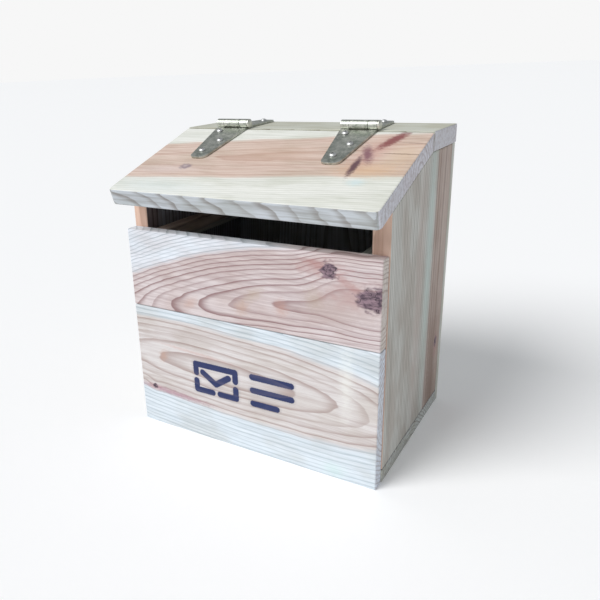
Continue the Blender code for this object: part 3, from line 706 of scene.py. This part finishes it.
# %% Floor, back and battens
PALE_BOARD = ("#d9dbd4", "#b4b6ab")
DARK_BATTEN = ("#a9aba9", "#878a86")
plain_boards = [
    ("floor_board", X_AXIS, Y_AXIS, (80, 0, 0), (60, 0, 0), 4.5, PALE_BOARD, Z_AXIS),
    ("back_panel", Z_AXIS, X_AXIS, (160, 0.02, 0), (45, 0.05, 0), 4.5, PALE_BOARD, -Y_AXIS),
    ("left_side_cleat", Y_AXIS, Z_AXIS, (30, 0.02, 0), (30, 0, 0), 3.5, DARK_BATTEN, None),
    ("right_side_cleat", Y_AXIS, Z_AXIS, (-20, 0.02, 0), (40, 0, 0), 3.5, DARK_BATTEN, None),
    ("left_corner_batten", Z_AXIS, X_AXIS, (34, 0.02, 0), (26, 0, 0), 3.5, DARK_BATTEN, None),
    ("right_corner_batten", Z_AXIS, X_AXIS, (-16, 0.02, 0), (36, 0, 0), 3.5, DARK_BATTEN, None),
    ("hanging_batten", X_AXIS, Z_AXIS, (40, 0.02, 0), (30, 0, 0), 3.5, DARK_BATTEN, None),
]
for seed, (node, grain, across, *pith, spacing, sap, inside) in enumerate(plain_boards, 9):
    dress(node, pine(
        "treated_pine_" + node, grain, across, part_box(node)[0], *pith, spacing,
        heart=52, seed=seed, sap=sap, heartwood=("#c3b3a9", "#95817a"),
        # the face inside the box takes painted shade
        faces=[(tuple(inside), INSIDE_SHADE, "MULTIPLY")] if inside else (),
        end_tint="#f4f8ff",
    ))
print("boards dressed:", sum("pine" in m.name for m in bpy.data.materials))

# %% [markdown]
# ## Zinc-plated steel
# Strap hinges are pressed from cold-rolled strip and zinc plated. Plating gives a soft
# grey mirror with faint crystals a few millimetres across, a yellow-green cast where the
# chromate stayed, and fine drawing lines. A metal keeps the default IOR, and its colour
# is what it reflects. Its roughness is a soft sheen's, between 0.3 and 0.55. A screw's
# cross recess is darkened to the radius that it is given. This is painted shade, where
# the recess holds shadow.

# %% Zinc plating
RECESS_PAINTED_SHADE = "#3a3a38"
RECESS_SHADE_EDGE = (0.5, 0.4)      # mm outside and inside the recess's radius
RECESS_SHADE_SHARE = 0.85
CRYSTALS = 0.45             # cells per mm, about 2 mm each
CRYSTAL_SHARE = 0.18
PATCHES = (9, 9, 9)         # mm
TONE_RANGE = (0.40, 0.78)   # patches and crystals that give the first and second tone
LINES = (0.25, 9, 9)        # mm, narrow across a leaf and long down it
LINE_RANGE = (0.5, 0.8, 0.0, 0.35)      # noise from and to, and the third tone's share
LINE_DEPTH = 0.00008        # m
DULLED = 0.16               # roughness that the patches add


def zinc(name, tones, rough, seed, recess=0.0):
    """Plated steel, with crystals, fine lines and dull patches, and painted shade in a screw's
    cross recess. Recess is in mm.
    """
    material, tree, shader = start_material(name)
    shader.inputs["Metallic"].default_value = 1.0
    local = add(tree, "TexCoord", output="Object")
    place = add(tree, "Mapping", [local, None, None, (MM, MM, MM)])
    crystal = add(tree, "TexVoronoi", {"Vector": place, "Scale": CRYSTALS}, "Color")
    crystal = add(tree, "SeparateXYZ", [crystal])
    patch = grainy(tree, place, PATCHES, 4.0, 0.6, seed)
    lines = grainy(tree, place, LINES, 2.0, 0.6, seed + 1)
    tone = add(tree, "Math", [crystal, CRYSTAL_SHARE, patch], operation="MULTIPLY_ADD")
    tone = add(tree, "MapRange", [tone, *TONE_RANGE], **SMOOTH)
    skin = add(tree, "Mix", {0: tone, 6: colour(tones[0]), 7: colour(tones[1])}, **LAYER)
    worn = add(tree, "MapRange", [lines, *LINE_RANGE], **SMOOTH)
    skin = add(tree, "Mix", {0: worn, 6: skin, 7: colour(tones[2])}, **LAYER)
    # painted shade: a dark disc round the screw's axis, where the cross recess holds shadow
    if recess:
        flat = add(tree, "VectorMath", [place, (1, 1, 0)], operation="MULTIPLY")
        reach = add(tree, "VectorMath", [flat], output="Value", operation="LENGTH")
        edge = [reach, recess + RECESS_SHADE_EDGE[0], recess - RECESS_SHADE_EDGE[1], 0.0, RECESS_SHADE_SHARE]
        recess_shade = add(tree, "MapRange", edge, **SMOOTH)
        skin = add(tree, "Mix", {0: recess_shade, 6: skin, 7: colour(RECESS_PAINTED_SHADE)}, **LAYER)
    tree.links.new(skin, shader.inputs["Base Color"])
    dull = add(tree, "MapRange", [patch, 0.3, 0.7, rough, rough + DULLED])
    tree.links.new(dull, shader.inputs["Roughness"])
    bump = {"Strength": 0.25, "Distance": LINE_DEPTH, "Height": lines}
    tree.links.new(add(tree, "Bump", bump), shader.inputs["Normal"])
    return material


hinge_zinc = zinc("zinc_plated_strap_steel", ("#a2a89d", "#cfd0c8", "#8e9187"), 0.36, 51)
pin_zinc = zinc("zinc_plated_pin_steel", ("#d2d3c9", "#eae9df", "#b4b5aa"), 0.32, 52)
screw_tones = ("#d2d3d2", "#efefee", "#b9bab8")
screw_zinc = zinc("zinc_plated_screw_steel", screw_tones, 0.38, 53, recess=1.2)
print("zinc finishes:", hinge_zinc.name, pin_zinc.name, screw_zinc.name)

# %% [markdown]
# ## Strap hinges
# Each leaf is one strip of steel. Its root is cut into tongues and rolled round the pin,
# and what is left narrows to a rounded tip. We build the middle surface of the strip as a
# grid, bent along the same path, and let Solidify give it its thickness and Bevel its
# pressed edges. The roll then shows its real seam, which a plain cylinder wouldn't.

# %% Hinge sizes
PIN_POINT = Vector((0, -0.08326, 0.191338))     # on the lid's hinge line
HINGE_X = {"left": -0.085, "right": 0.071}      # m, each hinge's middle
LEAF_LENGTH = 0.082         # m, from the pin's axis to the tip
ROOT_HALF = 0.020           # half widths at the pin and at the tip
TIP_HALF = 0.0105
TIP_RADIUS = 0.007
TIP_STEPS = 8
STRIP = 0.002               # thickness
ROLL_RADIUS = 0.004         # middle of the strip
ROLL_START = 0.0064         # from the pin's axis to where the tongues begin
ROLL_TURN = math.radians(300)
ROLL_STEPS = 30
MIDDLE_HALF = 0.010         # half the middle tongue's width
TONGUE_GAP = 0.0004


def strip_rows():
    """Distance along the strip, as (y, z, half width), from the tip to the tongues."""
    rows = []
    for step in range(TIP_STEPS + 1):
        angle = math.pi / 2 * (1 - step / TIP_STEPS)
        y = -(LEAF_LENGTH - TIP_RADIUS) - TIP_RADIUS * math.sin(angle)
        rows.append((y, -ROLL_RADIUS, TIP_HALF - TIP_RADIUS + TIP_RADIUS * math.cos(angle)))
    rows.append((-ROLL_START, -ROLL_RADIUS, ROOT_HALF))
    return rows


def roll_rows():
    """The rolled tongue's path round the pin."""
    rows = [(-ROLL_START, -ROLL_RADIUS)]
    for step in range(ROLL_STEPS + 1):
        angle = -math.pi / 2 + ROLL_TURN * step / ROLL_STEPS
        rows.append((ROLL_RADIUS * math.cos(angle), ROLL_RADIUS * math.sin(angle)))
    return rows


def leaf_mesh(name, tongues):
    """One leaf's middle surface: the strap, and its tongues rolled round the pin."""
    shape = bmesh.new()
    columns = (-1.0, -MIDDLE_HALF / ROOT_HALF, MIDDLE_HALF / ROOT_HALF, 1.0)
    grid = []
    for y, z, half in strip_rows():
        grid.append([shape.verts.new((column * half, y, z)) for column in columns])
    for first, second in zip(grid, grid[1:]):
        for left in range(len(columns) - 1):
            corners = (first[left], first[left + 1], second[left + 1], second[left])
            shape.faces.new(corners)
    for start, stop in tongues:
        path = [[shape.verts.new((x, y, z)) for x in (start, stop)] for y, z in roll_rows()]
        for first, second in zip(path, path[1:]):
            shape.faces.new((first[0], first[1], second[1], second[0]))
    mesh = bpy.data.meshes.new(name)
    shape.to_mesh(mesh)
    shape.free()
    mesh.shade_smooth()
    return mesh


print("rows of points from tip to seam:", len(strip_rows()) + len(roll_rows()))

# %% [markdown]
# Each finer piece stands for one CAD node and takes its name. It rides on the same body
# as the node, so lid leaves and their screws swing with the lid, and pins and rail leaves
# stay with the box.

# %% Show a finer piece


def show(name, mesh, finish, body, place):
    """A visual piece that moves with a body and stands for the CAD node of its name."""
    piece = bpy.data.objects.new(name + "_look", mesh)
    scene.collection.objects.link(piece)
    piece.matrix_world = place
    if not mesh.materials:
        mesh.materials.append(finish)
    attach(piece, body)
    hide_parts(name)
    return piece


print("pin's point on the hinge line, mm:", [round(side * MM, 1) for side in PIN_POINT])

# %% [markdown]
# The lid's leaf has the two outer tongues and the rail's leaf the middle one, so they
# interlock on the pin. Both are the same mesh otherwise, tilted to the lid's slope or
# turned round to lie on the rail. The tilt is applied to the mesh itself. The bevel is
# the edge that pressing rounds over.

# %% Make the leaves
PRESSED_EDGE = 0.00035      # m
EDGE_ANGLE = math.radians(50)       # anything sharper is an edge
TONGUES = {
    "lid": [(-ROOT_HALF, -MIDDLE_HALF - TONGUE_GAP), (MIDDLE_HALF + TONGUE_GAP, ROOT_HALF)],
    "rail": [(-MIDDLE_HALF, MIDDLE_HALF)],
}
LEAF_TURN = {"lid": Euler((LID_SLOPE, 0, 0)), "rail": Euler((0, 0, math.pi))}
LEAF_BODY = {"lid": "lid", "rail": "box"}
for side in HINGE_X:
    for board, tongues in TONGUES.items():
        name = side + "_hinge_" + board + "_leaf"
        point = PIN_POINT + X_AXIS * HINGE_X[side]
        mesh = leaf_mesh(name, tongues)
        mesh.transform(LEAF_TURN[board].to_matrix().to_4x4())
        leaf = show(name, mesh, hinge_zinc, LEAF_BODY[board], Matrix.Translation(point))
        thick = leaf.modifiers.new("strip_thickness", "SOLIDIFY")
        thick.thickness = STRIP
        thick.offset = 0
        edge = leaf.modifiers.new("pressed_edges", "BEVEL")
        edge.width = PRESSED_EDGE
        edge.segments = 3
        edge.limit_method = "ANGLE"
        edge.angle_limit = EDGE_ANGLE
        edge.harden_normals = True
print("leaves made:", len(HINGE_X) * len(TONGUES))

# %% [markdown]
# ## Turned parts
# Pins and screws are round bar, so each is a profile spun round its axis. Edges sharper
# than 40 degrees stay crisp and the rest is shaded smooth.

# %% Turned shapes
TURN_SIDES = 40
CRISP = math.radians(40)


def turned_mesh(name, profile):
    """Spin (radius, height) points round Z and close both ends."""
    shape = bmesh.new()
    rings = []
    for radius, height in profile:
        ring = []
        for index in range(TURN_SIDES):
            angle = 2 * math.pi * index / TURN_SIDES
            place = (radius * math.cos(angle), radius * math.sin(angle), height)
            ring.append(shape.verts.new(place))
        rings.append(ring)
    for first, second in zip(rings, rings[1:]):
        for index in range(TURN_SIDES):
            after = (index + 1) % TURN_SIDES
            shape.faces.new((first[index], first[after], second[after], second[index]))
    shape.faces.new(rings[0])
    shape.faces.new(rings[-1])
    bmesh.ops.recalc_face_normals(shape, faces=shape.faces)
    mesh = bpy.data.meshes.new(name)
    shape.to_mesh(mesh)
    shape.free()
    mesh.shade_smooth()
    mesh.set_sharp_from_angle(angle=CRISP)
    return mesh


print("sides of a turned part:", TURN_SIDES)

# %% [markdown]
# A driver's cross is punched into every head. Two tapered bars, crossed and narrower
# below, are taken away with a Boolean. It is applied at once, so one cut mesh serves all
# screws of a kind.

# %% Cross recess
CROSS_SPAN = 0.0044         # m, from tip to tip at the top
CROSS_WIDTH = 0.0011
CROSS_PROUD = 0.6           # how far the cutter stands above the head, in depths


def cross_cutter(depth):
    """A tapered cross, point down, that cuts the recess."""
    shape = bmesh.new()
    for turn in (0, math.pi / 2):
        made = bmesh.ops.create_cube(shape, size=1.0)["verts"]
        for vert in made:
            top = vert.co.z > 0
            reach = CROSS_SPAN / 2 if top else CROSS_SPAN / 4
            thick = CROSS_WIDTH / 2 if top else CROSS_WIDTH / 3
            along = math.copysign(reach, vert.co.x)
            corner = Vector((along, math.copysign(thick, vert.co.y), 0))
            corner.rotate(Euler((0, 0, turn)))
            vert.co = (corner.x, corner.y, depth * CROSS_PROUD if top else -depth)
    mesh = bpy.data.meshes.new("cross_cutter")
    shape.to_mesh(mesh)
    shape.free()
    return mesh


def cut_cross(mesh, top, depth):
    """Cut a cross recess into a screw's mesh, down from the top of its head."""
    blank = bpy.data.objects.new("blank", mesh)
    cutter = bpy.data.objects.new("cutter", cross_cutter(depth))
    cutter.location = (0, 0, top)
    for item in (blank, cutter):
        scene.collection.objects.link(item)
    step = blank.modifiers.new("cross", "BOOLEAN")
    step.object = cutter
    step.solver = "EXACT"
    step.use_self = True
    graph = bpy.context.evaluated_depsgraph_get()
    cut = bpy.data.meshes.new_from_object(blank.evaluated_get(graph))
    for item in (blank, cutter):
        bpy.data.objects.remove(item)
    cut.shade_smooth()
    cut.set_sharp_from_angle(angle=CRISP)
    return cut


print("cross recess, mm:", CROSS_SPAN * MM, "by", CROSS_WIDTH * MM)

# %% [markdown]
# There are two kinds of screw. Thin strap is held by round heads, low domes that sit on
# the steel. Boards are held by countersunk screws, whose flat top is level with the wood
# and whose cone is sunk in it. Threads are hidden in the wood, so shanks are plain, with
# a short point at the end.

# %% Screw kinds
ROUND_HEAD = (0.0037, 0.0023, 0.0017)       # head radius, head height, shank radius
FLAT_HEAD = (0.0038, 0.0026, 0.0019)
FLAT_RIM = 0.0002           # m, the eased edge of the flat top
DOME_EDGE = math.radians(78)        # the dome is this much of a quarter round
DOME_STEPS = 8
LEAF_SCREW_LENGTH = 0.0145
ROUND_RECESS = 0.0013       # m, depth of the cross
FLAT_RECESS = 0.0014
POINT_LENGTH = 2            # in shank radii
POINT_END = 0.3


def shank(radius, length, start):
    """A straight shank with a short point, going down."""
    neck = -length + POINT_LENGTH * radius
    return [(radius, -start), (radius, neck), (radius * POINT_END, -length)]


def round_head(length):
    """The profile of a round-head screw, from the dome's top down."""
    radius, height, thick = ROUND_HEAD
    dome = []
    for step in range(DOME_STEPS + 1):
        angle = DOME_EDGE * (1 - step / DOME_STEPS)
        rise = math.sin(angle) / math.sin(DOME_EDGE)
        dome.append((radius * math.cos(angle), height * rise))
    return dome + shank(thick, length, 0.0)


def flat_head(length):
    """The profile of a countersunk screw, from its flat top down."""
    radius, depth, thick = FLAT_HEAD
    return [(radius - FLAT_RIM, 0.0), (radius, -FLAT_RIM)] + shank(thick, length, depth)


leaf_screw = turned_mesh("round_head_screw", round_head(LEAF_SCREW_LENGTH))
leaf_screw = cut_cross(leaf_screw, ROUND_HEAD[1], ROUND_RECESS)
print("faces in a round-head screw:", len(leaf_screw.polygons))

# %% [markdown]
# The leaf screws stand square to their boards: tilted on the lid, upright on the rail.
# Nobody turns every cross the same way, so each one stops at its own angle.

# %% Place the leaf screws
LEAF_HOLES = ((0.015, -0.0105), (0.040, 0.0050), (0.066, -0.0025))  # from the pin, across
LEAF_SEAT = -0.0027         # head's underside below the pin's axis
CROSS_ANGLES = (12, 57, 33, 80, 5, 68, 41, 22, 75, 50, 15, 63)
angles = iter(CROSS_ANGLES)
for side in HINGE_X:
    for board in TONGUES:
        point = PIN_POINT + X_AXIS * HINGE_X[side]
        hinge_place = Matrix.LocRotScale(point, LEAF_TURN[board], None)
        for number, (along, across) in enumerate(LEAF_HOLES, start=1):
            name = side + "_" + board + "_leaf_screw_" + str(number)
            spin = Matrix.Rotation(math.radians(next(angles)), 4, "Z")
            place = hinge_place @ Matrix.Translation((across, -along, LEAF_SEAT)) @ spin
            show(name, leaf_screw, screw_zinc, LEAF_BODY[board], place)
print("leaf screws:", len(CROSS_ANGLES))

# %% [markdown]
# The countersunk screws are found by name in the frame. Each kind goes in one way, and
# its CAD box gives its length and its place: half the length back from its middle is the
# head. Screws through the sides go in from their own side, towards the middle.

# %% Place the countersunk screws
FIRST_TURN = 23             # degrees, the first screw's cross
NEXT_TURN = 47              # and how much further each next one is turned
SCREW_WAYS = {
    "floor_screw": (0, 0, 1), "back_screw": (0, -1, 0), "rail_screw": (0, 0, 1),
    "cleat_screw": (1, 0, 0), "front_board_screw": (0, -1, 0), "corner_screw": (1, 0, 0),
}
for kind, way in SCREW_WAYS.items():
    nodes = sorted(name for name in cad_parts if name.startswith(kind))
    low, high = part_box(nodes[0])
    length = max(high - low)
    mesh = cut_cross(turned_mesh(kind, flat_head(length)), 0.0, FLAT_RECESS)
    for number, name in enumerate(nodes):
        low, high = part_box(name)
        middle = (low + high) / 2
        into = Vector(way)
        if way[0]:
            into.x = math.copysign(1, middle.x)
        seat = middle - into * length / 2
        turn = (-into).to_track_quat("Z", "Y").to_matrix().to_4x4()
        spin = Matrix.Rotation(math.radians(FIRST_TURN + NEXT_TURN * number), 4, "Z")
        show(name, mesh, screw_zinc, "box", Matrix.Translation(seat) @ turn @ spin)
    print(kind, "count and length in mm:", len(nodes), round(length * MM, 1))

# %% [markdown]
# The pin is pushed through from the right, and its flat head with a small chamfer shows
# at that end. The other end has a lead-in, so that it finds the knuckles.

# %% Hinge pins
PIN_RADIUS = 0.0027         # m
LEAD_IN = 0.0006
NECK = 0.0203               # from the hinge's middle to the underside of the head
HEAD_RADIUS = 0.005
HEAD_TOP = NECK + 0.0025
HEAD_EASE = 0.0003          # the rounding of the head's edges
HEAD_SIDE = 0.0008          # where the side ends, below the top
HEAD_FLAT = 0.0010          # how far in from the rim the flat top ends
pin_profile = [
    (PIN_RADIUS - LEAD_IN, -ROOT_HALF), (PIN_RADIUS, -ROOT_HALF + LEAD_IN),
    (PIN_RADIUS, NECK), (HEAD_RADIUS - HEAD_EASE, NECK), (HEAD_RADIUS, NECK + HEAD_EASE),
    (HEAD_RADIUS, HEAD_TOP - HEAD_SIDE), (HEAD_RADIUS - HEAD_EASE, HEAD_TOP - HEAD_EASE),
    (HEAD_RADIUS - HEAD_FLAT, HEAD_TOP),
]
pin_mesh = turned_mesh("hinge_pin", pin_profile)
for side, x in HINGE_X.items():
    place = Matrix.Translation(PIN_POINT + X_AXIS * x) @ Matrix.Rotation(math.pi / 2, 4, "Y")
    show(side + "_hinge_pin", pin_mesh, pin_zinc, "box", place)

# %% [markdown]
# ## Studio
# The box stands on a plain pale floor of white paper, wide enough that its far edge is
# lost in the distance. The paper glows a little, so that it is as white as the sky.

# %% Floor
FLOOR_SIZE = 80.0           # m
UNDERSIDE = -0.150          # m, the box's lowest face
PAPER_GLOW = 0.10
shape = bmesh.new()
bmesh.ops.create_grid(shape, x_segments=1, y_segments=1, size=FLOOR_SIZE / 2)
ground_mesh = bpy.data.meshes.new("floor")
shape.to_mesh(ground_mesh)
shape.free()
ground = bpy.data.objects.new("floor", ground_mesh)
ground.location = (0, 0, UNDERSIDE)
scene.collection.objects.link(ground)
paper, _, paper_shader = start_material("studio_paper")
paper_shader.inputs["Base Color"].default_value = colour("#fafafa")
paper_shader.inputs["Roughness"].default_value = 0.95
paper_shader.inputs["Emission Color"].default_value = colour("#ffffff")
paper_shader.inputs["Emission Strength"].default_value = PAPER_GLOW
ground_mesh.materials.append(paper)
print("floor, m:", FLOOR_SIZE, "wide, at height", UNDERSIDE)

# %% [markdown]
# The light is an even sky for fill and one broad, soft sun from the front left. The sky
# that the lens sees is nearly white, and the one that lights the box is dimmer, so the
# shaded side keeps its shape. The Standard view transform keeps white paper white.

# %% Light
SKY_FILL = 0.36
SKY_BLUE = "#f6faff"
LENS_SKY = 0.93
SUN_STRENGTH = 2.5
SUN_WIDTH = math.radians(35)        # a broad source, for soft shadows
SUN_FROM = Vector((-0.40, -0.62, 0.68))
world = bpy.data.worlds.new("studio")
world.use_nodes = True
scene.world = world
sky = world.node_tree
fill = sky.nodes["Background"]
fill.inputs["Color"].default_value = colour(SKY_BLUE)
fill.inputs["Strength"].default_value = SKY_FILL
white = add(sky, "Background", {"Color": (1, 1, 1, 1), "Strength": LENS_SKY})
lens_ray = add(sky, "LightPath", output="Is Camera Ray")
both = add(sky, "MixShader", [lens_ray, fill.outputs[0], white])
sky.links.new(both, sky.nodes["World Output"].inputs["Surface"])

sun = bpy.data.lights.new("soft_sun", "SUN")
sun.energy = SUN_STRENGTH
sun.angle = SUN_WIDTH
sun_object = bpy.data.objects.new("soft_sun", sun)
sun_object.rotation_euler = SUN_FROM.to_track_quat("Z", "Y").to_euler()
scene.collection.objects.link(sun_object)
scene.view_settings.view_transform = "Standard"
print("sun's height, degrees:", round(math.degrees(math.asin(SUN_FROM.normalized().z))))

# %% [markdown]
# ## Camera
# The camera looks down a little from the right, so that the front, the lid's top and one
# side all show. The small shift moves the box in the picture without turning the lens.

# %% Camera
CAMERA_PLACE = Vector((0.32419, -0.71504, 0.25244))
CAMERA_TURN = (70.2609, 2.2727, 31.8723)        # degrees
FOCAL_LENGTH = 37.59        # mm, on a sensor 36 mm wide
SENSOR = 36
SHIFT = (0.0945, -0.01375)
lens = bpy.data.cameras.new("camera")
lens.lens = FOCAL_LENGTH
lens.sensor_width = SENSOR
lens.shift_x, lens.shift_y = SHIFT
camera = bpy.data.objects.new("camera", lens)
camera.location = CAMERA_PLACE
camera.rotation_euler = [math.radians(angle) for angle in CAMERA_TURN]
scene.collection.objects.link(camera)
scene.camera = camera
print("camera to the frame's zero point, m:", round(CAMERA_PLACE.length, 3))
